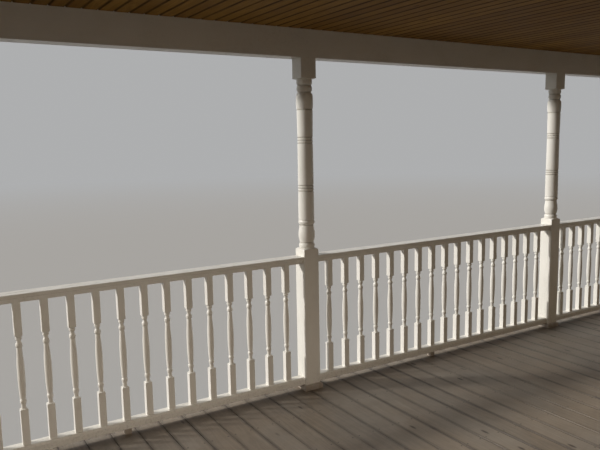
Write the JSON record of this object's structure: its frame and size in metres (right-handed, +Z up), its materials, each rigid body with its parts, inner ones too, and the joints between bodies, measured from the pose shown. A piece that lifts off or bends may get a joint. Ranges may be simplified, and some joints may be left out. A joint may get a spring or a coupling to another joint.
{
  "type": "front porch",
  "caption": "Covered wooden front porch with turned posts, balustrade railings, boarded floor and ceiling, and a lean-to roof that meets the house wall.",
  "frame": {"origin": "middle of the footprint on the ground, at the underside of the piers", "axes": "+X along the front, to the right as seen from the street; +Y from the street towards the house wall; +Z up"},
  "size_m": [7.822, 3.958, 3.9866],
  "materials": {
    "white_paint": "white gloss paint on wood, slightly worn",
    "floor_boards": "worn tan-brown stain on softwood boards",
    "ceiling_boards": "honey-brown varnish on tongue-and-groove boards",
    "raw_timber": "bare sawn timber",
    "roof_covering": "dark grey-brown shingles, granular",
    "concrete": "plain cast concrete"
  },
  "bodies": {
    "root": {"piers": "concrete", "girders": "raw_timber", "floor_joists": "raw_timber", "front_skirt": "white_paint", "end_skirts": "white_paint", "floor_ledger": "raw_timber", "floor": "floor_boards", "post_1": "white_paint", "post_2": "white_paint", "post_3": "white_paint", "post_4": "white_paint", "left_side_post": "white_paint", "right_side_post": "white_paint", "left_wall_post": "white_paint", "right_wall_post": "white_paint", "top_rail_1": "white_paint", "top_rail_2": "white_paint", "top_rail_3": "white_paint", "bottom_rail_1": "white_paint", "bottom_rail_2": "white_paint", "bottom_rail_3": "white_paint", "balusters_1": "white_paint", "balusters_2": "white_paint", "balusters_3": "white_paint", "left_top_rails": "white_paint", "left_bottom_rails": "white_paint", "left_balusters": "white_paint", "right_top_rails": "white_paint", "right_bottom_rails": "white_paint", "right_balusters": "white_paint", "rail_blocks": "white_paint", "front_beam": "raw_timber", "side_beams": "raw_timber", "front_casing": "white_paint", "side_casings": "white_paint", "ceiling": "ceiling_boards", "ceiling_battens": "raw_timber", "ceiling_joists": "raw_timber", "rafters": "raw_timber", "roof_ledgers": "raw_timber", "roof": "roof_covering", "fascia": "white_paint", "barge_boards": "white_paint", "soffit": "white_paint", "gable_ends": "white_paint"}
  },
  "joints": []
}
